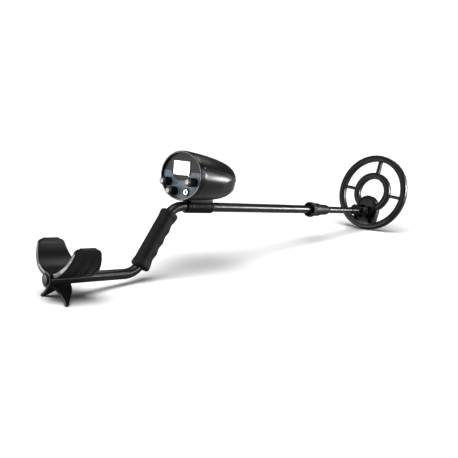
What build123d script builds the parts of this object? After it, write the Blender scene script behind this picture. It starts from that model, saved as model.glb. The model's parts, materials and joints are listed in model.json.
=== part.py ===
from build123d import *
from math import cos, sin, radians, sqrt
import os

# A hobby metal detector, standing on the two legs of its armrest and on the edge of its search coil.
# Everything is drawn in the shaft frame: +X runs forward along the axis of the straight middle tube,
# +Z is up and square to that tube, and y = 0 is the plane through all three tubes.
# The last step tips the whole object nose down by PITCH and moves the middle of its base to the origin.
# All lengths are millimetres and all angles are degrees.

# ---- driving dimensions ----
PITCH = 7.14                # slope of the shaft when the detector stands on its legs and its coil
ROD_TWIST = 5.4             # the lower rod, and the coil on it, stand turned this much in the lock
TUBE_R = 9.5                # outer radius of the bent handle tube and of the middle tube
TUBE_WALL = 1.2
ROD_R = 8.0                 # outer radius of the telescoping lower tube
SHAFT_FIT = 0.1             # radial clearance where one piece turns or slides in another
GAP = 0.3                   # clearance between pieces that move past each other

ARM_Z = -126.0              # axis of the tube under the forearm
ARM_END_X = 190.0           # its rear end
LOW_BEND_X = 372.0          # where the arm axis and the grip axis cross
HIGH_BEND_X = 449.0         # where the grip axis meets the shaft axis
BEND_R = 44.0
HANDLE_END_X = 512.0

CRADLE_R = 62.5             # outer radius of the armrest
CRADLE_TOP = -67.5          # top edge of its wings
CRADLE_REAR = 194.0
CRADLE_FRONT = 264.0
CRADLE_IN_R = 55.5          # its inside is a rounder arc, so that the strap is thickest at the bottom
CRADLE_IN_Z = -59.5
CRADLE_FLOOR = CRADLE_IN_Z - CRADLE_IN_R
ARM_BOLT_X = 228.0
STAND_X0 = 189.5            # the stand closes round the tube behind the strap, then runs on under it
STAND_X1 = 232.0
STAND_R = 13.5
LEG_THICKNESS = 5.0
# side view of one leg: distance along the shaft, distance down the leg
LEG_OUTLINE = ((193, -6), (230, -6), (231.5, 8), (227, 19), (217, 34), (209, 46), (205, 46), (206, 34),
               (204.5, 20), (200, 9))

GRIP_R = 15.5
GRIP_FRONT = 3.0            # how much further the grip stands out in front, for the fingers
GRIP_LENGTH = 122.0
FINGERS = 4
FINGER_DEPTH = 2.6
FINGER_R = 16.0

COUPLING_X = 479.5          # rear end of the ribbed coupling
COUPLING_LENGTH = 73.5
BUSH_X = (478.0, 550.0)
BRACKET_X = (485.0, 544.0)
BRACKET_SCREW_X = (495.0, 534.0)
COUPLING_R = 12.5
COUPLING_RIBS = 16

MIDDLE_X0 = 516.0
MIDDLE_X1 = 905.0
LOCK_X0 = 877.0             # mouth of the twist lock collar
LOCK_X1 = 953.0             # its nose

ROD_X0 = 765.0              # rear end of the lower tube, inside the middle tube
ROD_X1 = 1054.0
PIVOT_X = 1108.0            # bolt that the coil tilts on
HEAD_HALF = 7.0             # half thickness of the flat head of the rod end
EAR_IN = 8.6                # inner and outer faces of the coil's two ears
EAR_OUT = 13.6
BOLT_R = 3.0
RIVET_X = ROD_X1 - 12

COIL_X = 1140.6             # centre of the coil
COIL_Z = 51.1
COIL_LEAN = 81.7            # angle from the shaft up to the coil's own long direction
COIL_R = 99.2
RING_WIDTH = 15.2
INNER_RING_R = 52.3
INNER_RING_WIDTH = 15.6
COIL_TOP = 7.0              # the top and bottom faces, measured from the coil's middle plane
COIL_SPLIT = -4.5
COIL_BOTTOM = -7.0
SPOKE_TOP = 3.5
SPOKE_HALF = 3.75
BOSS_S = -38.0              # centre of the round boss, along the coil's long direction
BOSS_R = 27.0
BOSS_TOP = 10.5
WEB_HALF = 33.0
POCKET_S = (-80.0, -47.0)
GLAND_S, GLAND_T = -66.0, 20.5
SCREW_PLACES = ((68, 0), (0, 68), (0, -68), (-72, 9.5), (-72, -9.5))
WEB_S = -42.0               # the web runs from here out to the outer ring

FACE_X = 461.5              # front edge of the bezel round the control panel
PANEL_X = 466.6             # face of the panel, sunk in the bezel
SHELL_X = 471.0             # seam between the bezel and the box shell
NOSE_X = 598.0
NOSE_Z = 54.5
# distance along the shaft, half width, top and bottom of the box shell at each of its sections
STATIONS = (
    (SHELL_X, 59.5, 107.2, 12.7), (500.0, 58.4, 104.2, 13.3), (530.0, 55.0, 99.6, 14.6),
    (555.0, 48.9, 94.2, 17.0), (573.0, 40.0, 88.5, 21.5), (586.0, 28.0, 80.5, 29.0)
)
SEAT_TOP = 18.0             # pads inside the shell that the bracket screws pull against
SEAT_END_X = 549.0
BOX_Z = 59.4                # centre of the box's oval face
FACE_HALF_W = 59.5
FACE_HALF_H = 47.8
BEZEL = 2.9
BOX_WALL = 2.6
SPEAKER_X = 562.0
SOCKET_X, SOCKET_Z = 567.0, 66.0

METER_Y = 4.5
METER_Z = 74.0
METER_W = 51.0
METER_H = 29.0
METER_WALL = 1.5
METER_DEPTH = 23.0
DIAL_DEPTH = 8.0
WINDOW = 1.2                # thickness of the clear window
NEEDLE_LENGTH = 20.0
SURROUND_Z = 84.0           # the dark field round the meter is a disc joined to the top of the panel
SURROUND_R = 34.6
FIELD_EDGE_Z = 67.5
LABEL = 0.6                 # printed sheet on the face plate
PLATE = 2.5

KNOB_R = 8.5
KNOB_LENGTH = 20.5
KNOBS = {"volume": (37.0, 45.7), "tuning": (17.0, 28.6), "sensitivity": (-37.0, 49.4)}
SHAFT_R = 3.0
KNOB_X = PANEL_X - 0.6 - KNOB_LENGTH
PLATE_X = PANEL_X + LABEL
NEEDLE_X = PANEL_X + 4.5
NEEDLE_Z = METER_Z - METER_H / 2 + 5.0
DIAL_X = PANEL_X + DIAL_DEPTH
JACK_Y, JACK_Z = -16.0, 29.2
JACK_BORE = 3.2             # takes a 6.35 mm headphone plug

BATTERY = (48.5, 17.4, 26.0)
BATTERY_X = 509.0
BATTERY_Z = 24.6
DOOR_X = (504.0, 559.0)
DOOR_Z = (22.0, 53.0)
BOARD_X = 493.0
BOARD_Y = 31.0
BOARD_Z = (24.5, 56.5)
POSTS = ((-25.5, 53.5), (28.0, 53.5), (-3.5, 53.5), (-1.0, 40.5))


# ---- small helpers ----
def bar_x(x0, x1, r, y=0.0, z=0.0):
    """Round bar along X."""
    return Pos(x0, y, z) * Rot(0, 90, 0) * Cylinder(r, x1 - x0, align=(Align.CENTER, Align.CENTER, Align.MIN))


def bar_y(y0, y1, r, x=0.0, z=0.0):
    """Round bar along Y."""
    base = (Align.CENTER, Align.CENTER, Align.MIN)
    return Pos(x, y0, z) * Rot(-90, 0, 0) * Cylinder(r, y1 - y0, align=base)


def bar_z(z0, z1, r, x=0.0, y=0.0):
    """Round bar along Z."""
    return Pos(x, y, z0) * Cylinder(r, z1 - z0, align=(Align.CENTER, Align.CENTER, Align.MIN))


def block(x, y, z):
    """Box between the (low, high) pairs x, y and z."""
    size = (x[1] - x[0], y[1] - y[0], z[1] - z[0])
    middle = ((x[0] + x[1]) / 2, (y[0] + y[1]) / 2, (z[0] + z[1]) / 2)
    return Pos(*middle) * Box(*size)


def turned(points):
    """Solid of revolution about X from (x, radius) points."""
    outline = Plane.XZ * make_face(Polyline(*points, close=True))
    return revolve(outline, Axis.X)


def hexagon_x(x0, x1, across, y, z):
    """Hexagonal bar along X, given its width across the flats."""
    flat = Plane(origin=(x0, y, z), x_dir=(0, 1, 0), z_dir=(1, 0, 0)) * RegularPolygon(across / sqrt(3), 6)
    return extrude(flat, x1 - x0)


def hexagon_z(z0, z1, across, x, y):
    """Hexagonal bar along Z, given its width across the flats."""
    return extrude(Pos(x, y, z0) * RegularPolygon(across / sqrt(3), 6), z1 - z0)


def panel_cut(x0, x1, half_w, half_h, z=BOX_Z):
    """Oval slab square to X."""
    plane = Plane(origin=(x0, 0, z), x_dir=(0, 1, 0), z_dir=(1, 0, 0))
    return extrude(plane * Ellipse(half_w, half_h), x1 - x0)


def in_rod_frame(shape):
    return Rot(ROD_TWIST, 0, 0) * shape


def in_coil_frame(shape):
    """Local X runs up the coil, away from the pivot; local Z points back at the operator."""
    return Rot(ROD_TWIST, 0, 0) * Pos(COIL_X, 0, COIL_Z) * Rot(0, -COIL_LEAN, 0) * shape


def pivot_in_coil():
    """The pivot in the coil's own frame: distance along the coil, and height over its middle plane."""
    dx, dz = PIVOT_X - COIL_X, -COIL_Z
    c, s = cos(radians(COIL_LEAN)), sin(radians(COIL_LEAN))
    return dx * c + dz * s, dz * c - dx * s


PIVOT_S, PIVOT_N = pivot_in_coil()


# ---- tubes ----
def handle_bar(radius):
    """Solid bar along the bent handle tube's axis."""
    corners = ((ARM_END_X, 0, ARM_Z), (LOW_BEND_X, 0, ARM_Z), (HIGH_BEND_X, 0, 0), (HANDLE_END_X, 0, 0))
    path = FilletPolyline(*corners, radius=BEND_R)
    return sweep(Plane(origin=path @ 0, z_dir=path % 0) * Circle(radius), path=path)


def handle_tube():
    tube = handle_bar(TUBE_R) - handle_bar(TUBE_R - TUBE_WALL)
    return tube - armrest_bolt_hole() - bracket_screw_holes()


def tube_end_cap():
    rear = ARM_END_X - 3.5
    flange = turned([(rear, 0), (rear, 7.0), (rear + 2, TUBE_R), (ARM_END_X, TUBE_R), (ARM_END_X, 0)])
    plug = bar_x(ARM_END_X, ARM_END_X + 14, TUBE_R - TUBE_WALL) - bar_x(ARM_END_X + 2, ARM_END_X + 14, 6.0)
    return Pos(0, 0, ARM_Z) * (flange + plug)


def middle_tube():
    tube = bar_x(MIDDLE_X0, MIDDLE_X1, TUBE_R) - bar_x(MIDDLE_X0, MIDDLE_X1, TUBE_R - TUBE_WALL)
    return tube - bracket_screw_holes()


def coupling_bush():
    """Short inner tube that lines up the handle tube and the middle tube."""
    inner = TUBE_R - TUBE_WALL
    return bar_x(*BUSH_X, inner) - bar_x(*BUSH_X, inner - 1.5) - bracket_screw_holes()


def shaft_coupling():
    x1 = COUPLING_X + COUPLING_LENGTH
    body = turned([(COUPLING_X, TUBE_R), (COUPLING_X, COUPLING_R - 1), (COUPLING_X + 1, COUPLING_R),
                   (x1 - 7, COUPLING_R), (x1, COUPLING_R - 2), (x1, TUBE_R)])
    pitch = (COUPLING_LENGTH - 12) / COUPLING_RIBS
    for i in range(COUPLING_RIBS):
        x = COUPLING_X + 3 + pitch * i
        body -= bar_x(x, x + pitch * 0.42, COUPLING_R + 1) - bar_x(x, x + pitch * 0.42, COUPLING_R - 1.1)
    return body - bracket_screw_holes()


# ---- armrest ----
def armrest_bolt_hole():
    return bar_z(ARM_Z - 20, ARM_Z + 20, 2.6, x=ARM_BOLT_X)


def armrest_cradle():
    """Half-round strap that the forearm lies in, with grooves round the outside of both wings."""
    outer = bar_x(CRADLE_REAR, CRADLE_FRONT, CRADLE_R, z=CRADLE_TOP + 5)
    saddle = block((CRADLE_REAR, CRADLE_FRONT), (-14, 14), (ARM_Z - 1, CRADLE_FLOOR + 2))
    outline = Polygon((CRADLE_REAR, ARM_Z - 2), (CRADLE_REAR, ARM_Z + 14), (205, CRADLE_TOP), (251, CRADLE_TOP),
                      (CRADLE_FRONT - 2, ARM_Z + 14), (CRADLE_FRONT, ARM_Z - 2), align=None)
    side = Plane.XZ * fillet(outline.vertices().sort_by(Axis.Y)[-2:], 8)
    strap = (outer + saddle) & extrude(side, CRADLE_R + 2, both=True)
    strap -= bar_x(CRADLE_REAR - 1, CRADLE_FRONT + 1, CRADLE_IN_R, z=CRADLE_IN_Z)
    for x, width in ((213, 5), (229, 6), (246, 5)):
        groove = bar_x(x, x + width, CRADLE_R + 2, z=CRADLE_TOP + 5)
        groove -= bar_x(x, x + width, CRADLE_R - 1.3, z=CRADLE_TOP + 5)
        strap -= groove & block((x, x + width), (-CRADLE_R, CRADLE_R), (ARM_Z + 4, CRADLE_TOP - 12))
    strap -= bar_z(CRADLE_FLOOR, CRADLE_FLOOR + 3, 5.0, x=ARM_BOLT_X)
    return strap - bar_x(CRADLE_REAR - 1, CRADLE_FRONT + 1, TUBE_R, z=ARM_Z) - armrest_bolt_hole()


def leg(side):
    """One splayed blade of the stand; it is left long here and trimmed to the floor afterwards."""
    down = Vector(0, side * 31, -26.5).normalized()
    plane = Plane(origin=(0, side * 6, -134), x_dir=(1, 0, 0), z_dir=(0, -down.Z, down.Y))
    blade = Polygon(*LEG_OUTLINE, align=None)
    return extrude(plane * blade, LEG_THICKNESS / 2, both=True)


def armrest_stand():
    collar = bar_x(STAND_X0, CRADLE_REAR - 0.1, STAND_R, z=ARM_Z)
    saddle = bar_x(STAND_X0, STAND_X1, 13.0, z=ARM_Z)
    saddle &= block((STAND_X0, STAND_X1), (-20, 20), (ARM_Z - 20, ARM_Z - 1.2))
    boss = bar_z(ARM_Z - 16, ARM_Z - 8, 7.5, x=ARM_BOLT_X)
    body = collar + saddle + boss + leg(1) + leg(-1)
    body -= bar_x(STAND_X0 - 5, STAND_X1 + 5, TUBE_R, z=ARM_Z)
    return body - armrest_bolt_hole() - nut_pocket() - under_floor()


def nut_pocket():
    return hexagon_z(ARM_Z - 17, ARM_Z - 12.5, 8.0, ARM_BOLT_X, 0)


def armrest_bolt():
    """M5 bolt down through the armrest, the tube and the stand."""
    head = bar_z(CRADLE_FLOOR, CRADLE_FLOOR + 2.6, 4.75, x=ARM_BOLT_X)
    head -= hexagon_z(CRADLE_FLOOR + 1, CRADLE_FLOOR + 3, 3.0, ARM_BOLT_X, 0)
    return head + bar_z(ARM_Z - 16.5, CRADLE_FLOOR, 2.5, x=ARM_BOLT_X)


def armrest_nut():
    nut = hexagon_z(ARM_Z - 16.5, ARM_Z - 12.5, 8.0, ARM_BOLT_X, 0)
    return nut - bar_z(ARM_Z - 17, ARM_Z - 12, 2.5, x=ARM_BOLT_X)


# ---- hand grip ----
def hand_grip():
    """Soft sleeve over the sloping part of the handle tube, with a hollow for each finger in front."""
    run = Vector(HIGH_BEND_X - LOW_BEND_X, 0, -ARM_Z)
    middle = Vector((HIGH_BEND_X + LOW_BEND_X) / 2, 0, ARM_Z / 2)
    axis = Plane(origin=middle, x_dir=(0, 1, 0), z_dir=run.normalized())
    half = GRIP_LENGTH / 2
    outline = Polyline((0, -half), (13.5, -half), (17.2, -half + 4), (16.6, -half + 9), (GRIP_R, -half + 16),
                       (GRIP_R, half - 12), (16.6, half - 6), (15.6, half - 1.5), (13.0, half), (0, half), close=True)
    sleeve = revolve(Plane.XZ * make_face(outline), Axis.Z)
    body = sleeve + Pos(0, -GRIP_FRONT, 0) * sleeve
    pitch = (GRIP_LENGTH - 24) / FINGERS
    reach = GRIP_R + GRIP_FRONT - FINGER_DEPTH + FINGER_R
    for i in range(FINGERS):
        z = pitch * (i - (FINGERS - 1) / 2)
        body -= Pos(0, -reach, z) * Rot(0, 90, 0) * Cylinder(FINGER_R, 50)
    return axis.location * body - handle_bar(TUBE_R)


# ---- twist lock ----
def lock_body():
    """Collet glued on the end of the middle tube; its slotted fingers grip the lower tube."""
    bore = ROD_R + SHAFT_FIT
    body = turned([(891, TUBE_R), (891, 11.8), (907, 11.8), (907, 11.0), (928, 11.0), (944, 9.6), (944, bore),
                   (MIDDLE_X1, bore), (MIDDLE_X1, TUBE_R)])
    for i in range(2):
        body -= Rot(90 * i, 0, 0) * block((918, 945), (-0.6, 0.6), (-12, 12))
    return body


def lock_collar():
    """Collar that the hand turns; its cup-shaped rear end is open round the middle tube."""
    body = turned([(LOCK_X0, 14.8), (LOCK_X0, 17.0), (LOCK_X0 + 1.2, 17.8), (886, 17.8), (889, 16.4), (893, 15.3),
                   (911, 15.3), (913, 13.2), (944, 11.8), (LOCK_X1, 8.9), (LOCK_X1, 8.4), (946.5, 8.4), (945.5, 10.2),
                   (930, 12.1), (889.5, 12.1), (889.5, 14.8)])
    ribs = 18
    for i in range(ribs):
        body -= Rot(360 * i / ribs, 0, 0) * bar_x(876, 888, 1.0, z=18.2)
    return body


# ---- lower rod ----
def slide_bush():
    """Bush behind the lower tube that keeps it central in the middle tube."""
    outer = TUBE_R - TUBE_WALL - SHAFT_FIT
    return turned([(ROD_X0 - 12, 4.5), (ROD_X0 - 12, outer), (ROD_X0 - GAP, outer),
                   (ROD_X0 - GAP, ROD_R - TUBE_WALL - SHAFT_FIT), (ROD_X0 + 12, ROD_R - TUBE_WALL - SHAFT_FIT),
                   (ROD_X0 + 12, 4.5)])


def rivet():
    return bar_y(-ROD_R, ROD_R, 1.6, x=RIVET_X)


def lower_tube():
    tube = bar_x(ROD_X0, ROD_X1, ROD_R) - bar_x(ROD_X0, ROD_X1, ROD_R - TUBE_WALL)
    return tube - rivet()


def rod_end_rivet():
    heads = bar_y(-ROD_R - 0.7, -ROD_R + 0.2, 2.6, x=RIVET_X) + bar_y(ROD_R - 0.2, ROD_R + 0.7, 2.6, x=RIVET_X)
    return rivet() + (heads - bar_x(ROD_X0, ROD_X1, ROD_R))


def rod_end():
    """Moulded end of the lower rod, with a flat round head between the coil's ears."""
    neck = PIVOT_X - 25
    plug = bar_x(ROD_X1 - 26, ROD_X1, ROD_R - TUBE_WALL)
    collar = turned([(ROD_X1, 0), (ROD_X1, 8.9), (ROD_X1 + 3, 9.2), (neck - 4, 9.2), (neck, 8.4), (neck, 0)])
    blade = block((neck - 1, PIVOT_X), (-HEAD_HALF, HEAD_HALF), (-8.4, 8.4)) & bar_x(neck - 1, PIVOT_X, 9.6)
    head = bar_y(-HEAD_HALF, HEAD_HALF, 11.0, x=PIVOT_X)
    return plug + collar + blade + head - bar_y(-20, 20, BOLT_R + SHAFT_FIT, x=PIVOT_X) - rivet()


def pivot_washers():
    ring = bar_y(HEAD_HALF, EAR_IN - 0.2, 10.5, x=PIVOT_X) - bar_y(HEAD_HALF, EAR_IN, BOLT_R + GAP, x=PIVOT_X)
    return Compound([ring, mirror(ring, Plane.XZ)])


# ---- search coil, drawn flat in its own frame ----
def flat_ring(outer, width, low, high, rounding):
    ring = bar_z(low, high, outer) - bar_z(low, high, outer - width)
    edges = ring.edges().group_by(Axis.Z)[-1] if rounding > 0 else ring.edges().group_by(Axis.Z)[0]
    return fillet(edges, abs(rounding))


def spokes(low, high):
    """Three thin arms between the two rings; the web takes the place of the fourth."""
    inner, outer = INNER_RING_R - 2, COIL_R - RING_WIDTH + 2
    up = block((inner, outer), (-SPOKE_HALF, SPOKE_HALF), (low, high))
    far = block((-SPOKE_HALF, SPOKE_HALF), (inner, outer), (low, high))
    return up + far + mirror(far, Plane.XZ)


def web(low, high):
    plate = block((-COIL_R + RING_WIDTH / 2, WEB_S), (-WEB_HALF, WEB_HALF), (low, high))
    return plate & bar_z(low, high, COIL_R - 3)


def on_pivot(shape):
    """Move a piece drawn about the origin, with its axis on Y, to the pivot in the coil's frame."""
    return Pos(PIVOT_S, 0, PIVOT_N) * shape


def ears():
    """Two upright lugs that take the rod end between them."""
    foot = 19.0
    drop = PIVOT_N - COIL_TOP + 3
    profile = Polygon((-foot, -drop), (foot, -drop), (12.2, 4), (-12.2, 4), align=None)
    lug = extrude(Plane.XZ * profile, -(EAR_OUT - EAR_IN))
    lug = Pos(0, EAR_IN, 0) * lug + bar_y(EAR_IN, EAR_OUT, 13.0)
    return on_pivot(lug + mirror(lug, Plane.XZ))


def winding_space(grow):
    """Channels for the two windings, as bars between the shell and the base."""
    low, high = COIL_SPLIT, 3.6 + grow
    outer = flat_channel(COIL_R - 3 + grow, COIL_R - RING_WIDTH + 3 - grow, low, high)
    inner = flat_channel(INNER_RING_R - 3 + grow, INNER_RING_R - INNER_RING_WIDTH + 3 - grow, low, high)
    return outer, inner


def flat_channel(r_out, r_in, low, high):
    return bar_z(low, high, r_out) - bar_z(low, high, r_in)


def coil_shell():
    """Moulded top half of the coil, with the boss, the ears and hollow rings."""
    shell = flat_ring(COIL_R, RING_WIDTH, COIL_SPLIT, COIL_TOP, 4.0)
    shell += flat_ring(INNER_RING_R, INNER_RING_WIDTH, COIL_SPLIT, COIL_TOP, 4.0)
    shell += spokes(COIL_SPLIT, SPOKE_TOP) + web(COIL_SPLIT, COIL_TOP)
    boss = bar_z(COIL_SPLIT, BOSS_TOP, BOSS_R, x=BOSS_S)
    shell += fillet(boss.edges().group_by(Axis.Z)[-1], 2.5)
    pocket = block(POCKET_S, (EAR_OUT + 1.2, WEB_HALF - 4), (-2.5, 30))
    shell -= pocket + mirror(pocket, Plane.XZ)
    shell += ears()
    outer, inner = winding_space(0)
    cavity = bar_z(COIL_SPLIT, BOSS_TOP - 2.5, BOSS_R - 5, x=BOSS_S) & block((-46, 0), (-40, 40), (-9, 20))
    passage = block((-90, -45), (-5, 5), (COIL_SPLIT, 3.6))
    shell -= outer + inner + cavity + passage
    shell -= bar_z(BOSS_TOP - 1.4, BOSS_TOP + 1, BOSS_R - 4.5, x=BOSS_S)
    shell -= on_pivot(bar_y(-20, 20, BOLT_R))
    shell -= bar_z(-3, 2, 4.0, x=GLAND_S, y=GLAND_T)
    return shell - Compound(coil_screw_bars(COIL_SPLIT, COIL_SPLIT + 3.5, 1.25))


def coil_screw_bars(low, high, radius):
    """Round bars at the screw places: one under each spoke and two under the web."""
    return [bar_z(low, high, radius, x=x, y=y) for x, y in SCREW_PLACES]


def coil_base():
    """Bottom cover that closes both rings, the spokes and the web."""
    base = flat_ring(COIL_R, RING_WIDTH, COIL_BOTTOM, COIL_SPLIT, -1.2)
    base += flat_ring(INNER_RING_R, INNER_RING_WIDTH, COIL_BOTTOM, COIL_SPLIT, -1.2)
    base += spokes(COIL_BOTTOM, COIL_SPLIT) + web(COIL_BOTTOM, COIL_SPLIT)
    base += bar_z(COIL_BOTTOM, COIL_SPLIT, BOSS_R, x=BOSS_S)
    heads = Compound(coil_screw_bars(COIL_BOTTOM, COIL_BOTTOM + 1.3, 2.6))
    return base - heads - Compound(coil_screw_bars(COIL_BOTTOM, COIL_SPLIT, 1.25))


def coil_screws():
    heads = coil_screw_bars(COIL_BOTTOM, COIL_BOTTOM + 1.3, 2.6)
    shanks = coil_screw_bars(COIL_BOTTOM + 1.3, COIL_SPLIT + 3.5, 1.25)
    return Compound([head + shank for head, shank in zip(heads, shanks)])


def coil_boss_cap():
    return bar_z(BOSS_TOP - 1.4, BOSS_TOP + 0.4, BOSS_R - 4.5, x=BOSS_S)


def coil_terminal_board():
    return block((-45, -20), (-12, 12), (5.0, 6.6))


def coil_gland():
    """Cable inlet in the far pocket of the web; the cable itself is left out."""
    stem = bar_z(-2.5, 8, 4.0, x=GLAND_S, y=GLAND_T) + bar_z(8, 14, 3.2, x=GLAND_S, y=GLAND_T)
    return stem - bar_z(-2.5, 14, 1.6, x=GLAND_S, y=GLAND_T)


def pivot_bolt():
    head = bar_y(-EAR_OUT - 4, -EAR_OUT, 5.6)
    slot = block((-6, 6), (-EAR_OUT - 4.1, -EAR_OUT - 2.8), (-0.8, 0.8))
    washer = bar_y(EAR_OUT, EAR_OUT + 1.0, 7.0)
    return on_pivot(head - slot + bar_y(-EAR_OUT, 26.5, BOLT_R) + washer)


def pivot_knob():
    """Lobed hand knob that clamps the tilt."""
    knob = bar_y(EAR_OUT + 1.2, EAR_OUT + 14, 12.6)
    for i in range(6):
        knob -= Rot(0, 60 * i, 0) * bar_y(EAR_OUT + 4.5, EAR_OUT + 15, 4.0, x=14.6)
    knob -= bar_y(EAR_OUT, EAR_OUT + 13.2, BOLT_R + 0.08)
    return on_pivot(knob)


# ---- control box ----
def egg(shrink):
    """Tapering round-nosed body of the box; shrink moves every wall inwards."""
    faces = []
    for x, half, top, bottom in STATIONS:
        start = x - (shrink if x != SHELL_X else 0)
        plane = Plane(origin=(start, 0, (top + bottom) / 2), x_dir=(0, 1, 0), z_dir=(1, 0, 0))
        faces.append(plane * Ellipse(half - shrink, (top - bottom) / 2 - shrink))
    tip = Plane(origin=(NOSE_X - shrink, 0, NOSE_Z), x_dir=(0, 1, 0), z_dir=(1, 0, 0)) * Ellipse(6, 5.5)
    return loft([*faces, tip])


def bracket_screw_holes():
    return Compound([bar_z(6, 30, 2.0, x=x) for x in BRACKET_SCREW_X])


def box_bracket():
    """Saddle between the ribbed coupling and the underside of the box."""
    body = block(BRACKET_X, (-11.5, 11.5), (8.5, 17))
    body -= bar_x(BRACKET_X[0] - 9, BRACKET_X[1] + 9, COUPLING_R) + egg(0)
    body -= panel_cut(FACE_X, SHELL_X, FACE_HALF_W, FACE_HALF_H)
    return body - bracket_screw_holes()


def bracket_screws():
    screws = []
    for x in BRACKET_SCREW_X:
        screws.append(bar_z(7.0, SEAT_TOP, 2.0, x=x) + bar_z(SEAT_TOP, SEAT_TOP + 2.6, 3.8, x=x))
    return Compound(screws)


def door_prism(shrink):
    """Bar along +Y that cuts the battery door out of the far wall."""
    x = (DOOR_X[0] + shrink, DOOR_X[1] - shrink)
    z = (DOOR_Z[0] + shrink, DOOR_Z[1] - shrink)
    return block(x, (10, 70), z)


def sound_holes():
    holes = [bar_x(NOSE_X - 28, NOSE_X + 6, 1.6, z=BOX_Z)]
    for count, radius in ((6, 6.0), (12, 12.0)):
        for i in range(count):
            a = radians(360 * i / count)
            holes.append(bar_x(NOSE_X - 28, NOSE_X + 6, 1.6, y=radius * cos(a), z=BOX_Z + radius * sin(a)))
    return Compound(holes)


def coil_socket():
    """Round socket for the coil's plug, on the far side of the nose."""
    ring = bar_y(21, 44, 7.5, x=SOCKET_X, z=SOCKET_Z) + bar_y(21, 26, 9.0, x=SOCKET_X, z=SOCKET_Z)
    ring -= bar_y(34, 45, 5.6, x=SOCKET_X, z=SOCKET_Z)
    for i in range(5):
        a = radians(45 * i)
        ring += bar_y(33.5, 41, 0.6, x=SOCKET_X + 3.4 * cos(a), z=SOCKET_Z + 3.4 * sin(a))
    return ring


def box_shell():
    shell = egg(0) - egg(BOX_WALL)
    seat = block((SHELL_X, SEAT_END_X), (-8, 8), (10, SEAT_TOP)) & egg(0)
    shell = shell + seat - door_prism(0) - sound_holes()
    shell -= bar_y(26, 50, 7.5, x=SOCKET_X, z=SOCKET_Z)
    return shell - bracket_screw_holes()


def battery_door():
    return (egg(0) - egg(BOX_WALL)) & door_prism(GAP)


def face_bezel():
    ring = panel_cut(FACE_X, SHELL_X, FACE_HALF_W, FACE_HALF_H)
    ring = fillet(ring.edges().group_by(Axis.X)[0], 1.4)
    return ring - panel_cut(FACE_X, SHELL_X, FACE_HALF_W - BEZEL, FACE_HALF_H - BEZEL)


def meter_block(x0, x1, inset):
    """Rectangular bar the size of the meter, less inset on each side."""
    half = METER_W / 2 - inset
    z = (METER_Z - METER_H / 2 + inset, METER_Z + METER_H / 2 - inset)
    return block((x0, x1), (METER_Y - half, METER_Y + half), z)


def panel_holes(radius):
    bars = [bar_x(PANEL_X - 1, PANEL_X + 5, radius, y=y, z=z) for y, z in KNOBS.values()]
    return Compound(bars + [bar_x(PANEL_X - 1, PANEL_X + 5, 4.7, y=JACK_Y, z=JACK_Z)])


def panel_sheet(x0, x1):
    sheet = panel_cut(x0, x1, FACE_HALF_W - BEZEL, FACE_HALF_H - BEZEL)
    return sheet - meter_block(x0, x1, 0) - panel_holes(3.6)


def meter_field(x0, x1):
    """The dark upper part of the panel: everything above the field edge, and the disc round the meter."""
    above = block((x0, x1), (-70, 70), (FIELD_EDGE_Z, 120))
    return above + bar_x(x0, x1, SURROUND_R, y=METER_Y, z=SURROUND_Z)


def face_plate():
    return panel_sheet(PLATE_X, PLATE_X + PLATE)


def control_label():
    return panel_sheet(PANEL_X, PLATE_X) - meter_field(PANEL_X, PLATE_X)


def meter_surround():
    return panel_sheet(PANEL_X, PLATE_X) & meter_field(PANEL_X, PLATE_X)


def meter_window():
    return meter_block(PANEL_X, PANEL_X + WINDOW, 0)


def meter_case():
    case = meter_block(PANEL_X + WINDOW, PANEL_X + METER_DEPTH, 0)
    return case - meter_block(PANEL_X, PANEL_X + METER_DEPTH - METER_WALL, METER_WALL)


def meter_dial():
    plate = meter_block(DIAL_X, DIAL_X + 0.8, METER_WALL)
    return plate - bar_x(DIAL_X, DIAL_X + 1, 2.4, y=METER_Y, z=NEEDLE_Z)


def meter_movement():
    """Magnet and coil of the meter, behind the dial."""
    x = (DIAL_X + 2.0, PANEL_X + METER_DEPTH - METER_WALL)
    body = block(x, (METER_Y - 13, METER_Y + 13), (METER_Z - 12, METER_Z + 9))
    return body - bar_x(DIAL_X, DIAL_X + 6, 2.4, y=METER_Y, z=NEEDLE_Z)


def meter_needle():
    hub = bar_x(NEEDLE_X - 0.6, NEEDLE_X + 0.9, 1.8, y=METER_Y, z=NEEDLE_Z)
    hub += bar_x(NEEDLE_X, DIAL_X + 5, 0.7, y=METER_Y, z=NEEDLE_Z)
    pointer = Polygon((-0.6, 0), (0.6, 0), (0.2, NEEDLE_LENGTH), (-0.2, NEEDLE_LENGTH), align=None)
    plane = Plane(origin=(NEEDLE_X, METER_Y, NEEDLE_Z), x_dir=(0, 1, 0), z_dir=(1, 0, 0))
    return hub + extrude(plane * pointer, 0.4)


def knob(y, z):
    """Fluted control knob, hollow at the panel end."""
    x0, x1 = KNOB_X, PANEL_X - 0.6
    plane = Plane(origin=(x0, y, z), x_dir=(0, 1, 0), z_dir=(1, 0, 0))
    flutes = PolarLocations(KNOB_R + 0.2, 20) * Circle(0.9)
    body = extrude(plane * (Circle(KNOB_R) - flutes), x1 - x0)
    clear = KNOB_R + 1
    dome = turned([(x0 - 1, 0), (x0, KNOB_R - 1.6), (x0 + 1.2, clear), (x1 + 1, clear), (x1 + 1, 0)])
    body &= Pos(0, y, z) * dome
    body -= bar_x(x0 + 4, x1 + 1, SHAFT_R, y=y, z=z)
    return body - bar_x(x1 - 4, x1 + 1, KNOB_R - 2.4, y=y, z=z)


def knob_shaft(y, z):
    return bar_x(KNOB_X + 4, PLATE_X + PLATE + 4, SHAFT_R, y=y, z=z)


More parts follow.
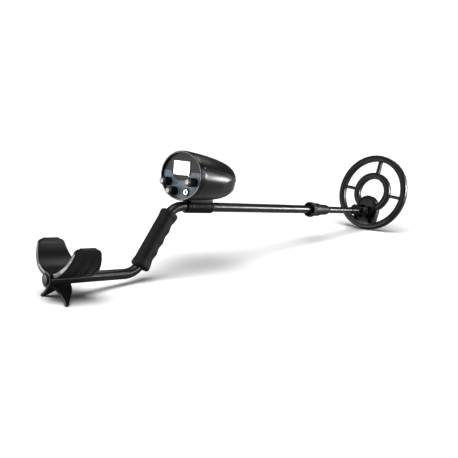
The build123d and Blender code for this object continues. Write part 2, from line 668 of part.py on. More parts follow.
def control_pots():
    """Bodies of the three rotary controls, with threaded bushes through the panel."""
    pots = []
    x0 = PLATE_X + PLATE
    for y, z in KNOBS.values():
        can = bar_x(x0, x0 + 9.5, 8.0, y=y, z=z) + bar_x(PANEL_X - 2.6, x0, 3.6, y=y, z=z)
        pots.append(can - bar_x(PANEL_X - 3, x0 + 5, SHAFT_R + SHAFT_FIT, y=y, z=z))
    return Compound(pots)


def control_nuts():
    nuts = [hexagon_x(PANEL_X - 1.8, PANEL_X, 10.0, y, z) - bar_x(PANEL_X - 3, PANEL_X, 3.6, y=y, z=z)
            for y, z in KNOBS.values()]
    return Compound(nuts)


def headphone_socket():
    x0 = PLATE_X + PLATE
    body = block((x0, x0 + 20), (JACK_Y - 7, JACK_Y + 7), (JACK_Z - 7, JACK_Z + 7))
    body += bar_x(PANEL_X - 3.0, x0, 4.7, y=JACK_Y, z=JACK_Z)
    return body - bar_x(PANEL_X - 4, x0 + 17, JACK_BORE, y=JACK_Y, z=JACK_Z)


def socket_nut():
    nut = bar_x(PANEL_X - 2.2, PANEL_X, 7.2, y=JACK_Y, z=JACK_Z)
    return nut - bar_x(PANEL_X - 3, PANEL_X, 4.7, y=JACK_Y, z=JACK_Z)


def circuit_board():
    board = block((BOARD_X, BOARD_X + 1.6), (-BOARD_Y, BOARD_Y), BOARD_Z)
    for y, z in POSTS:
        board -= bar_x(BOARD_X - 1, BOARD_X + 3, 1.5, y=y, z=z)
    return board


def board_posts():
    posts = []
    x0 = PLATE_X + PLATE
    for y, z in POSTS:
        posts.append(bar_x(x0, BOARD_X, 2.6, y=y, z=z) - bar_x(BOARD_X - 6, BOARD_X, 1.5, y=y, z=z))
    return Compound(posts)


def board_screws():
    screws = []
    for y, z in POSTS:
        shank = bar_x(BOARD_X - 5, BOARD_X + 1.6, 1.5, y=y, z=z)
        screws.append(shank + bar_x(BOARD_X + 1.6, BOARD_X + 3.2, 2.7, y=y, z=z))
    return Compound(screws)


def board_parts():
    """Chips, capacitors and coils on the front of the board."""
    x0 = BOARD_X + 1.6
    parts = [block((x0, x0 + 3.4), (y - 3.2, y + 3.2), (z - 7, z + 7)) for y, z in ((-20, 38), (20, 38))]
    for y in (-9.5, 8, 13):
        parts.append(bar_x(x0, x0 + 7.5, 2.2, y=y, z=31))
    parts.append(bar_x(x0, x0 + 8.5, 3.5, y=10, z=48))
    return Compound(parts)


def speaker():
    """Small loudspeaker that faces the sound holes in the nose."""
    outline = [(0, 0), (0, 10), (6, 10), (8, 13), (13, 20), (15, 20), (15, 17), (10, 7), (10, 0)]
    return Pos(SPEAKER_X, 0, BOX_Z) * turned(outline)


def battery_tray():
    x = (BATTERY_X - 2, BATTERY_X + BATTERY[0] - 8)
    wide = BATTERY[1] + 0.4
    tray = block(x, (-wide - 1.6, wide), (BATTERY_Z - 1.8, BATTERY_Z))
    tray += block(x, (-wide - 1.6, -wide), (BATTERY_Z, BATTERY_Z + 14))
    tray += block((x[0], x[0] + 1.6), (-wide, wide), (BATTERY_Z, BATTERY_Z + 14))
    return tray + block((BATTERY_X + 6, BATTERY_X + 16), (-6, 6), (SEAT_TOP, BATTERY_Z - 1.8))


def batteries():
    cells = []
    for y in (-BATTERY[1] / 2 - 0.1, BATTERY[1] / 2 + 0.1):
        cell = block((BATTERY_X, BATTERY_X + BATTERY[0] - 2.5), (y - BATTERY[1] / 2, y + BATTERY[1] / 2),
                     (BATTERY_Z, BATTERY_Z + BATTERY[2]))
        for dz in (6.6, 19.4):
            cell += bar_x(BATTERY_X + BATTERY[0] - 2.5, BATTERY_X + BATTERY[0], 2.8, y=y, z=BATTERY_Z + dz)
        cells.append(cell)
    return Compound(cells)


def battery_clips():
    clips = []
    x0 = BATTERY_X + BATTERY[0]
    for y in (-BATTERY[1] / 2 - 0.1, BATTERY[1] / 2 + 0.1):
        clips.append(block((x0, x0 + 3), (y - 6, y + 6), (BATTERY_Z + 1, BATTERY_Z + 25)))
    return Compound(clips)


# ---- standing the detector on the floor ----
def pitched(shape):
    return Rot(0, PITCH, 0) * shape


def floor_level():
    """Height of the coil's lowest point once the shaft is tipped."""
    return pitched(in_coil_frame(coil_base())).bounding_box().min.Z


def under_floor():
    depth = 60
    slab = Pos(ARM_END_X, 0, floor_level() - depth / 2) * Box(400, 400, depth)
    return Rot(0, -PITCH, 0) * slab


def shaft_nodes():
    """Everything that is fixed to the handle and the box, or rides on them, in the shaft frame."""
    nodes = {}
    for make in (handle_tube, tube_end_cap, armrest_cradle, armrest_stand, armrest_bolt, armrest_nut, hand_grip,
                 shaft_coupling, coupling_bush, middle_tube, lock_body, lock_collar, box_bracket, bracket_screws,
                 box_shell, face_bezel, face_plate, control_label, meter_surround, meter_window, meter_case,
                 meter_dial, meter_movement, meter_needle, control_pots, control_nuts, headphone_socket, socket_nut,
                 circuit_board, board_posts, board_screws, board_parts, speaker, battery_tray, batteries,
                 battery_clips, battery_door, coil_socket, slide_bush):
        nodes[make.__name__] = make()
    for name, (y, z) in KNOBS.items():
        nodes[name + "_knob"] = knob(y, z)
        nodes[name + "_shaft"] = knob_shaft(y, z)
    return nodes


def rod_nodes():
    nodes = {}
    for make in (lower_tube, rod_end, rod_end_rivet, pivot_washers):
        nodes[make.__name__] = in_rod_frame(make())
    for make in (coil_shell, coil_base, coil_boss_cap, coil_terminal_board, coil_screws, coil_gland, pivot_bolt,
                 pivot_knob):
        nodes[make.__name__] = in_coil_frame(make())
    outer, inner = winding_space(-0.4)
    nodes["transmit_winding"] = in_coil_frame(outer)
    nodes["receive_winding"] = in_coil_frame(inner)
    return nodes


def main():
    os.makedirs("parts", exist_ok=True)
    nodes = {name: pitched(shape) for name, shape in {**shaft_nodes(), **rod_nodes()}.items()}
    box = Compound(list(nodes.values())).bounding_box()
    origin = Pos(-(box.min.X + box.max.X) / 2, -(box.min.Y + box.max.Y) / 2, -box.min.Z)
    for name, shape in nodes.items():
        export_step(origin * shape, os.path.join("parts", name + ".step"))
    print("nodes", len(nodes), "size", box.size, "shift", origin.position)


main()
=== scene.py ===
import json
import math

import bmesh
import bpy
from mathutils import Matrix, Vector


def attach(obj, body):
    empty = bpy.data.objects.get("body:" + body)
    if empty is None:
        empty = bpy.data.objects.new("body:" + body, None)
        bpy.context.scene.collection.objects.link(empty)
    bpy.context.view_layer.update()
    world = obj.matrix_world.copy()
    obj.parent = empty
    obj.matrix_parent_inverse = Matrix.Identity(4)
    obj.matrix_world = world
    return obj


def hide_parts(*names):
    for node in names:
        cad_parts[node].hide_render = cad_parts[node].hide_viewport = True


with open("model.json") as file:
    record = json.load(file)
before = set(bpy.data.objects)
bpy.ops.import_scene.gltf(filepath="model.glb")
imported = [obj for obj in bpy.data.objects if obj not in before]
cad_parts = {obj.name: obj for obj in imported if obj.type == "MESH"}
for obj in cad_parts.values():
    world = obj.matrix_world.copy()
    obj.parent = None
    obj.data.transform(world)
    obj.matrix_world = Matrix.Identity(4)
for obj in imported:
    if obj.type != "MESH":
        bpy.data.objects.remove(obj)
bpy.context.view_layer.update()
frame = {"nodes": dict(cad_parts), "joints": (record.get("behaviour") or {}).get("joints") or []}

# A hobby metal detector, standing on the legs of its armrest and on the edge of its search coil.
# Pieces are drawn in millimetres in the part's own frames, and placed in the row frame by a matrix:
#   SHAFT  +X forward along the straight tube, +Z up and square to it
#   ROD    the same, turned with the lower rod
#   COIL   X up the coil, Y across it, Z square to its face, towards the operator
#   PIVOT  the same directions, with the tilt bolt at the origin

JOINTS = {joint["name"]: joint for joint in frame["joints"]}
MM = 0.001
TAU = 2 * math.pi

# ---- dimensions that the pieces share with the CAD part, in millimetres ----
ROD_REAR_X = 765.0
PIVOT_X = 1108.0
COIL_X, COIL_Z, COIL_LEAN = 1140.6, 51.1, 81.7
ARM_Z = -126.0
TUBE_R = 9.5
CRADLE_REAR, CRADLE_FRONT = 194.0, 264.0
CRADLE_R, CRADLE_Z = 62.5, -62.5
CRADLE_IN_R, CRADLE_IN_Z = 55.5, -59.5
GRIP_LOW, GRIP_HIGH = (372.0, -126.0), (449.0, 0.0)
GRIP_LENGTH = 122.0
GRIP_FRONT = 3.0
STAND_X0, STAND_X1, STAND_R = 189.5, 232.0, 13.5
LEG_OUTLINE = [(193, -6), (230, -6), (231.5, 8), (227, 19), (217, 34), (209, 46), (205, 46), (206, 34),
               (204.5, 20), (200, 9)]
COUPLING_X, COUPLING_LENGTH, COUPLING_RIBS = 479.5, 73.5, 16
SADDLE_X = (485.0, 543.5)
PANEL_X, SHELL_X, NOSE_X = 466.6, 471.0, 598.0
BOX_Z = 59.4
DOOR_X, DOOR_Z = (504.0, 559.0), (22.0, 53.0)
SOCKET_X, SOCKET_Z = 567.0, 66.0
METER_Y, METER_Z, METER_W, METER_H, DIAL_DEPTH = 4.5, 74.0, 51.0, 29.0, 8.0
KNOBS = {"volume": (37.0, 45.7), "tuning": (17.0, 28.6), "sensitivity": (-37.0, 49.4)}
KNOB_R, KNOB_LENGTH, KNOB_CAP = 8.5, 20.5, 5.0
COIL_R, RING_WIDTH = 99.2, 15.2
INNER_RING_R, INNER_RING_WIDTH = 52.3, 15.6
COIL_TOP, COIL_SPLIT, SPOKE_TOP, SPOKE_HALF = 7.0, -4.5, 3.5, 3.75
BOSS_S, BOSS_R, BOSS_TOP = -38.0, 27.0, 10.5
EAR_IN, EAR_OUT = 8.6, 13.6


def shaft_place():
    """Millimetres in the shaft frame to metres in the row frame, from the joint on the shaft's axis."""
    x = Vector(JOINTS["rod_twist"]["axis"]).normalized()
    y = Vector((0, 1, 0))
    place = Matrix((x, y, x.cross(y))).transposed().to_4x4()
    place.translation = Vector(JOINTS["rod_twist"]["pos_m"]) - x * ROD_REAR_X * MM
    return place @ Matrix.Scale(MM, 4)


def rod_turn(shaft):
    """How far the rod stands turned about the shaft, from the axis of the tilt joint."""
    y = Vector(JOINTS["coil_tilt"]["axis"])
    local = shaft.inverted().to_3x3() @ y
    return math.atan2(local.z, local.y)


SHAFT = shaft_place()
ROD = SHAFT @ Matrix.Rotation(rod_turn(SHAFT), 4, "X")
COIL = ROD @ Matrix.Translation((COIL_X, 0, COIL_Z)) @ Matrix.Rotation(-math.radians(COIL_LEAN), 4, "Y")
PIVOT_AT = COIL.inverted() @ ROD @ Vector((PIVOT_X, 0, 0))
PIVOT = COIL @ Matrix.Translation(PIVOT_AT)


# ---- shapes: each returns (points, faces) ----
def joined(*shapes):
    points, faces = [], []
    for shape_points, shape_faces in shapes:
        start = len(points)
        points += shape_points
        faces += [tuple(i + start for i in face) for face in shape_faces]
    return points, faces


def moved(shape, matrix):
    return [matrix @ Vector(p) for p in shape[0]], shape[1]


def rounded(corners, radius, steps=4, closed=True):
    """The same outline with each corner eased over radius, or over half its shorter side."""
    out = []
    count = len(corners)
    for i, corner in enumerate(corners):
        if not closed and i in (0, count - 1):
            out.append(tuple(corner))
            continue
        here = Vector(corner)
        before, after = Vector(corners[i - 1]), Vector(corners[(i + 1) % count])
        reach = min(radius, (before - here).length * 0.48, (after - here).length * 0.48)
        a = here + (before - here).normalized() * reach
        b = here + (after - here).normalized() * reach
        for k in range(steps + 1):
            t = k / steps
            out.append(tuple(a * (1 - t) ** 2 + here * 2 * t * (1 - t) + b * t * t))
    return out


def loft(rings, closed=False, caps=True):
    """Skin over rings of the same number of points; closed joins the last ring to the first."""
    count = len(rings[0])
    points = [p for ring in rings for p in ring]
    faces = []
    for r in range(len(rings) if closed else len(rings) - 1):
        a, b = r * count, (r + 1) % len(rings) * count
        for i in range(count):
            j = (i + 1) % count
            faces.append((a + i, a + j, b + j, b + i))
    if caps and not closed:
        faces.append(tuple(reversed(range(count))))
        faces.append(tuple(range(len(points) - count, len(points))))
    return points, faces


def turned(profile, segments=96, radius=None):
    """Solid of revolution about X from a closed outline of (x, r) points, or one that ends on the axis.
    radius(x, r, angle) may change a point's radius, for ribs and flutes."""
    rings = []
    for x, r in profile:
        ring = []
        for i in range(segments):
            a = TAU * i / segments
            here = radius(x, r, a) if radius else r
            ring.append((x, here * math.sin(a), here * math.cos(a)))
        rings.append(ring)
    return loft(rings, closed=profile[0][1] > 0, caps=False)


def prism(outline, low, high):
    """Outline of (x, y) points, drawn from z = low to z = high."""
    return loft([[(x, y, z) for x, y in outline] for z in (low, high)])


def cushioned(outline, low, high, ease, steps=4):
    """Prism with both rims rounded by ease; the outline has to be convex or nearly so."""
    middle = Vector((sum(p[0] for p in outline), sum(p[1] for p in outline))) / len(outline)
    widest = max((Vector(p) - middle).length for p in outline)
    rings = []
    for k in range(2 * steps + 2):
        bottom = k <= steps
        a = math.pi / 2 * ((k if bottom else 2 * steps + 1 - k) / steps)
        inset = ease * (1 - math.sin(a))
        rise = ease * (1 - math.cos(a))
        scale = 1 - inset / widest
        z = low + rise if bottom else high - rise
        rings.append([(*(middle + (Vector(p) - middle) * scale), z) for p in outline])
    return loft(rings)


def circle(radius, segments=64, x=0.0, y=0.0):
    return [(x + radius * math.cos(TAU * i / segments), y + radius * math.sin(TAU * i / segments))
            for i in range(segments)]


# Matrices that stand a prism's Z along another axis.
ALONG_X = Matrix(((0, 0, 1, 0), (1, 0, 0, 0), (0, 1, 0, 0), (0, 0, 0, 1)))   # outline (y, z)
ALONG_Y = Matrix(((1, 0, 0, 0), (0, 0, 1, 0), (0, 1, 0, 0), (0, 0, 0, 1)))   # outline (x, z)
X_TO_Z = Matrix(((0, 1, 0, 0), (0, 0, 1, 0), (1, 0, 0, 0), (0, 0, 0, 1)))    # turned about Z instead of X


# ---- pieces ----
def new_mesh(name, shape, place):
    mesh = bpy.data.meshes.new(name)
    mesh.from_pydata([place @ Vector(p) for p in shape[0]], [], shape[1])
    bm = bmesh.new()
    bm.from_mesh(mesh)
    bmesh.ops.remove_doubles(bm, verts=bm.verts, dist=1e-6)
    bmesh.ops.recalc_face_normals(bm, faces=bm.faces)
    bm.to_mesh(mesh)
    bm.free()
    return mesh


def new_object(name, mesh):
    obj = bpy.data.objects.new(name, mesh)
    bpy.context.scene.collection.objects.link(obj)
    return obj


def settle(obj):
    """Applies the object's modifiers to its mesh."""
    bpy.context.view_layer.update()
    graph = bpy.context.evaluated_depsgraph_get()
    mesh = bpy.data.meshes.new_from_object(obj.evaluated_get(graph))
    obj.modifiers.clear()
    obj.data = mesh


def carve(obj, cutter, place, operation="DIFFERENCE"):
    tool = new_object(obj.name + "_tool", new_mesh(obj.name + "_tool", cutter, place))
    step = obj.modifiers.new("carve", "BOOLEAN")
    step.operation, step.solver, step.object = operation, "EXACT", tool
    step.use_self = True
    settle(obj)
    bpy.data.objects.remove(tool)


def soften(obj, width, segments=3):
    step = obj.modifiers.new("soften", "BEVEL")
    step.width, step.segments = width * MM, segments
    step.limit_method, step.angle_limit = "ANGLE", math.radians(28)
    step.harden_normals = False
    settle(obj)


def smooth(obj, angle=34):
    for polygon in obj.data.polygons:
        polygon.use_smooth = True
    obj.data.set_sharp_from_angle(angle=math.radians(angle))


def piece(name, shape, place, body, material, stands_for=(), cuts=(), edge=0.0, angle=34):
    """A finished piece: built, carved, softened, and riding on its body."""
    obj = new_object(name, new_mesh(name, shape, place))
    for cutter, cutter_place in cuts:
        carve(obj, cutter, cutter_place)
    if edge:
        soften(obj, edge)
    smooth(obj, angle)
    obj.data.materials.clear()
    obj.data.materials.append(MATERIALS[material])
    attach(obj, body)
    if stands_for:
        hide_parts(*stands_for)
    return obj


# ---- materials ----
def shader(name):
    material = bpy.data.materials.new(name)
    material.use_nodes = True
    return material, material.node_tree, material.node_tree.nodes["Principled BSDF"]


def noise(tree, scale, detail=3.0, stretch=(1, 1, 1), kind="Noise"):
    """Noise or cell pattern at so many features a metre."""
    place = tree.nodes.new("ShaderNodeTexCoord")
    mapping = tree.nodes.new("ShaderNodeMapping")
    mapping.inputs["Scale"].default_value = stretch
    tree.links.new(place.outputs["Object"], mapping.inputs["Vector"])
    pattern = tree.nodes.new("ShaderNodeTex" + kind)
    pattern.inputs["Scale"].default_value = scale
    if kind == "Noise":
        pattern.inputs["Detail"].default_value = detail
    tree.links.new(mapping.outputs["Vector"], pattern.inputs["Vector"])
    return pattern.outputs["Fac" if kind == "Noise" else "Distance"]


def ramp(tree, source, stops):
    """Colour ramp from (position, colour) stops."""
    node = tree.nodes.new("ShaderNodeValToRGB")
    tree.links.new(source, node.inputs["Fac"])
    elements = node.color_ramp.elements
    while len(elements) < len(stops):
        elements.new(0.5)
    for element, (position, colour) in zip(elements, stops):
        element.position = position
        element.color = (*colour, 1)
    return node.outputs["Color"]


def grey(value):
    return (value, value, value)


def edges(tree, radius):
    """1 on the part's sharp edges and 0 on its open faces, over radius in metres."""
    bevel = tree.nodes.new("ShaderNodeBevel")
    bevel.inputs["Radius"].default_value = radius
    bevel.samples = 4
    plain = tree.nodes.new("ShaderNodeNewGeometry")
    dot = tree.nodes.new("ShaderNodeVectorMath")
    dot.operation = "DOT_PRODUCT"
    tree.links.new(bevel.outputs["Normal"], dot.inputs[0])
    tree.links.new(plain.outputs["Normal"], dot.inputs[1])
    spread = tree.nodes.new("ShaderNodeMapRange")
    spread.inputs["From Min"].default_value = 1.0
    spread.inputs["From Max"].default_value = 0.9
    tree.links.new(dot.outputs["Value"], spread.inputs["Value"])
    return spread.outputs["Result"]


def mixed(tree, factor, a, b):
    node = tree.nodes.new("ShaderNodeMix")
    node.data_type = "RGBA"
    tree.links.new(factor, node.inputs["Factor"])
    for socket, value in ((node.inputs["A"], a), (node.inputs["B"], b)):
        if isinstance(value, tuple):
            socket.default_value = (*value, 1)
        else:
            tree.links.new(value, socket)
    return node.outputs["Result"]


def finish_of(name, dark, light, rough, grain, depth, wear=None, metallic=0.0, coat=0.0, stretch=(1, 1, 1),
              specular=0.5, patch=40.0, sheen=0.0, grain_kind="Noise"):
    """A moulded, painted or plated surface: colour that drifts between dark and light, roughness that
    varies between the two values of rough, a fine grain that stands depth metres high, and worn edges."""
    material, tree, bsdf = shader(name)
    drift = noise(tree, patch, 4.0, stretch)
    colour = ramp(tree, drift, [(0.3, dark), (0.7, light)])
    if wear:
        rub = tree.nodes.new("ShaderNodeMath")
        rub.operation = "MULTIPLY"
        tree.links.new(edges(tree, 0.0007), rub.inputs[0])
        tree.links.new(ramp(tree, noise(tree, 260.0, 3.0), [(0.42, grey(0)), (0.66, grey(1))]), rub.inputs[1])
        colour = mixed(tree, rub.outputs["Value"], colour, wear)
    tree.links.new(colour, bsdf.inputs["Base Color"])
    smear = noise(tree, patch * 3.1, 5.0, stretch)
    tree.links.new(ramp(tree, smear, [(0.3, grey(rough[0])), (0.7, grey(rough[1]))]), bsdf.inputs["Roughness"])
    bump = tree.nodes.new("ShaderNodeBump")
    bump.inputs["Distance"].default_value = depth
    bump.inputs["Strength"].default_value = 1.0
    tree.links.new(noise(tree, grain, 2.0, stretch, grain_kind), bump.inputs["Height"])
    tree.links.new(bump.outputs["Normal"], bsdf.inputs["Normal"])
    bsdf.inputs["Metallic"].default_value = metallic
    bsdf.inputs["Coat Weight"].default_value = coat
    bsdf.inputs["Coat Roughness"].default_value = 0.12
    bsdf.inputs["Specular IOR Level"].default_value = specular
    if sheen:
        bsdf.inputs["Sheen Weight"].default_value = sheen
        bsdf.inputs["Sheen Roughness"].default_value = 0.4
    return material


def clear_acrylic():
    """Window that lets the dial show, with a reflection that grows towards grazing angles."""
    material, tree, bsdf = shader("clear_acrylic")
    tree.nodes.remove(bsdf)
    through = tree.nodes.new("ShaderNodeBsdfTransparent")
    through.inputs["Color"].default_value = (0.96, 0.97, 0.98, 1)
    gloss = tree.nodes.new("ShaderNodeBsdfGlossy")
    tree.links.new(ramp(tree, noise(tree, 90.0), [(0.4, grey(0.02)), (0.7, grey(0.07))]), gloss.inputs["Roughness"])
    facing = tree.nodes.new("ShaderNodeLayerWeight")
    mix = tree.nodes.new("ShaderNodeMixShader")
    tree.links.new(ramp(tree, facing.outputs["Facing"], [(0.3, grey(0.0015)), (1.0, grey(0.6))]), mix.inputs["Fac"])
    tree.links.new(through.outputs["BSDF"], mix.inputs[1])
    tree.links.new(gloss.outputs["BSDF"], mix.inputs[2])
    tree.links.new(mix.outputs["Shader"], tree.nodes["Material Output"].inputs["Surface"])
    return material


MATERIALS = {
    "powder_coat": finish_of("powder_coat", grey(0.007), grey(0.010), (0.26, 0.36), 2600.0, 0.000004,
                             wear=grey(0.03), patch=25.0, specular=0.36),
    "satin_black": finish_of("satin_black", grey(0.007), grey(0.010), (0.32, 0.42), 3200.0, 0.000005,
                             wear=grey(0.03), specular=0.24),
    "moulded_black": finish_of("moulded_black", grey(0.005), grey(0.008), (0.45, 0.55), 2800.0, 0.000006,
                               wear=grey(0.025), specular=0.22),
    "gloss_black": finish_of("gloss_black", grey(0.005), grey(0.008), (0.24, 0.34), 1500.0, 0.000002,
                             wear=grey(0.03), specular=0.22),
    "shell_black": finish_of("shell_black", (0.008, 0.008, 0.009), (0.011, 0.011, 0.012), (0.28, 0.36), 2400.0,
                             0.000004, wear=grey(0.03), specular=0.33),
    "soft_rubber": finish_of("soft_rubber", grey(0.006), grey(0.009), (0.55, 0.70), 1400.0, 0.00003,
                             wear=grey(0.012), specular=0.25, grain_kind="Voronoi"),
    "washer_rubber": finish_of("washer_rubber", grey(0.006), grey(0.009), (0.65, 0.8), 2200.0, 0.00001,
                               specular=0.25),
    "knob_black": finish_of("knob_black", grey(0.006), grey(0.009), (0.30, 0.40), 2600.0, 0.000005,
                            wear=grey(0.04), specular=0.3),
    "knob_cap": finish_of("knob_cap", grey(0.09), grey(0.13), (0.34, 0.44), 900.0, 0.000003, stretch=(1, 6, 6)),
    "panel_blue": finish_of("panel_blue", (0.130, 0.172, 0.205), (0.150, 0.195, 0.230), (0.40, 0.50), 2600.0,
                            0.000002, patch=60.0, specular=0.12),
    "panel_dark": finish_of("panel_dark", (0.020, 0.020, 0.021), (0.026, 0.026, 0.027), (0.45, 0.55), 2600.0,
                            0.000002, patch=60.0, specular=0.15),
    "print_light": finish_of("print_light", grey(0.50), grey(0.58), (0.45, 0.6), 2600.0, 0.000002),
    "print_dark": finish_of("print_dark", grey(0.05), grey(0.08), (0.45, 0.6), 2600.0, 0.000002),
    "print_red": finish_of("print_red", (0.50, 0.03, 0.02), (0.58, 0.05, 0.03), (0.4, 0.5), 2600.0, 0.000002),
    "dial_white": finish_of("dial_white", (0.46, 0.44, 0.44), (0.51, 0.49, 0.49), (0.5, 0.62), 2400.0, 0.000002, patch=80.0),
    "zinc": finish_of("zinc", (0.52, 0.52, 0.53), (0.64, 0.64, 0.66), (0.24, 0.42), 1800.0, 0.000003,
                      metallic=1.0, patch=160.0),
    "nickel": finish_of("nickel", (0.46, 0.45, 0.44), (0.56, 0.55, 0.53), (0.20, 0.32), 1500.0, 0.000002,
                        metallic=1.0, patch=120.0),
    "copper": finish_of("copper", (0.52, 0.20, 0.08), (0.66, 0.28, 0.12), (0.22, 0.36), 1300.0, 0.00003,
                        metallic=1.0, coat=0.5, stretch=(1, 1, 6)),
    "board_green": finish_of("board_green", (0.010, 0.085, 0.035), (0.018, 0.120, 0.050), (0.26, 0.4), 900.0,
                             0.000005, coat=0.3),
    "chip_black": finish_of("chip_black", grey(0.012), grey(0.018), (0.4, 0.5), 2600.0, 0.000005),
    "cone_paper": finish_of("cone_paper", grey(0.012), grey(0.022), (0.75, 0.88), 1900.0, 0.00002),
    "battery_case": finish_of("battery_case", (0.05, 0.055, 0.065), (0.08, 0.085, 0.1), (0.24, 0.36), 1500.0,
                              0.000002, metallic=0.4, coat=0.4),
    "clear_acrylic": clear_acrylic(),
}

SLOT_LOOKS = {
    "black_tube": "powder_coat", "black_plastic": "moulded_black", "satin_plastic": "satin_black",
    "gloss_black": "gloss_black", "grip_rubber": "soft_rubber", "washer_rubber": "washer_rubber",
    "zinc_steel": "zinc", "knob_plastic": "knob_black", "panel_blue": "panel_blue", "panel_dark": "panel_dark",
    "clear_window": "clear_acrylic", "meter_white": "dial_white", "needle_red": "print_red", "copper": "copper",
    "board_green": "board_green", "chip_black": "chip_black", "nickel": "nickel", "speaker_cone": "cone_paper",
    "battery_case": "battery_case",
}


def dress_cad_nodes():
    """Gives each carried-over CAD node the look of its own material slot."""
    for obj in frame["nodes"].values():
        for holder in obj.material_slots:
            holder.material = MATERIALS[SLOT_LOOKS[holder.material.name.split(".")[0]]]


# ---- armrest ----
def cradle():
    """The strap that the forearm lies in: a thick bent sheet with rounded rims and three shallow grooves."""
    top = CRADLE_Z - 5
    reach = math.acos((CRADLE_Z - top) / CRADLE_R)
    stations = 120
    rings = []
    for k in range(-3, stations + 4):
        t = 0.5 - 0.5 * math.cos(math.pi * min(max(k / stations, 0), 1))
        over = max(-k, k - stations, 0) / 3
        a = reach * (2 * t - 1)
        outer = Vector((0, math.sin(a) * CRADLE_R, CRADLE_Z - math.cos(a) * CRADLE_R))
        inward = Vector((0, -math.sin(a), math.cos(a)))
        b = math.asin(max(-1, min(1, outer.y * 0.9 / CRADLE_IN_R)))
        inner = Vector((0, math.sin(b) * CRADLE_IN_R, CRADLE_IN_Z - math.cos(b) * CRADLE_IN_R))
        thick = (inner - outer).dot(inward)
        height = outer.z
        rear, front = CRADLE_REAR, CRADLE_FRONT
        slope = max(0.0, (height - (ARM_Z + 14)) / (top - (ARM_Z + 14)))
        rear, front = rear + 11 * slope, front - 13 * slope
        corner = 8.0
        left = top - height
        if left < corner:
            trim = corner - math.sqrt(max(0.0, corner ** 2 - (corner - left) ** 2))
            rear, front = rear + trim, front - trim
        squeeze = 1 - 0.45 * over ** 2
        lift = 1.6 * math.sin(over * math.pi / 2)
        fade = min(1.0, max(0.0, (reach - abs(a)) * CRADLE_R - 9) / 10) * min(1.0, max(0, abs(a) - 0.35) / 0.2)
        ring = []
        taper = 0.12 + 0.88 * min(1.0, max(0.0, (abs(a) - 0.5) / 0.75))
        section = cradle_section(rear + 1.2 * over, front - 1.2 * over, thick, fade, taper)
        for x, depth in section:
            mid = thick / 2
            depth = mid + (depth - mid) * squeeze
            p = outer + inward * depth + Vector((x, 0, lift))
            ring.append(tuple(p))
        rings.append(ring)
    return loft(rings)


def cradle_section(rear, front, thick, fade, taper):
    """(x, depth below the outer face) round the strap, rear to front outside and back inside. Each groove drops
    in at its rear edge and slopes back out; taper narrows it towards the bottom of the strap."""
    rim = 1.6
    grooves = ((215.0, 13.5), (236.0, 8.5), (253.0, 6.0))
    out = []
    count = 120
    for i in range(count + 1):
        x = rear + rim + (front - rear - 2 * rim) * i / count
        dip = 0.0
        for start, width in grooves:
            u = (x - start) / (width * taper)
            if 0 < u < 1:
                dip = max(dip, 1.9 * (1 - u) * min(1.0, u / 0.1))
        out.append((x, dip * fade))
    for k in range(1, 6):
        a = math.pi / 2 * k / 6
        out.append((front - rim + rim * math.sin(a), rim - rim * math.cos(a)))
    for k in range(6):
        a = math.pi / 2 * k / 6
        out.append((front - rim + rim * math.cos(a), thick - rim + rim * math.sin(a)))
    for i in range(count // 3 + 1):
        out.append((front - rim - (front - rear - 2 * rim) * i / (count // 3), thick))
    for k in range(1, 6):
        a = math.pi / 2 * k / 6
        out.append((rear + rim - rim * math.sin(a), thick - rim + rim * math.cos(a)))
    for k in range(6):
        a = math.pi / 2 * k / 6
        out.append((rear + rim - rim * math.cos(a), rim - rim * math.sin(a)))
    return out


def stand_leg(side):
    """A splayed blade of the stand, long enough to be trimmed at the floor."""
    down = Vector((0, side * 31, -26.5)).normalized()
    across = Vector((0, -down.z, down.y))
    origin = Vector((0, side * 6, -134))
    corners = rounded(LEG_OUTLINE, 5.0, 5)
    rings = []
    for offset, scale in ((-2.5, 0.94), (-1.9, 0.985), (-1.0, 1.0), (1.0, 1.0), (1.9, 0.985), (2.5, 0.94)):
        rings.append([tuple(origin + Vector((212 + (x - 212) * scale, 0, 0)) + down * v + across * offset)
                      for x, v in corners])
    return loft(rings)


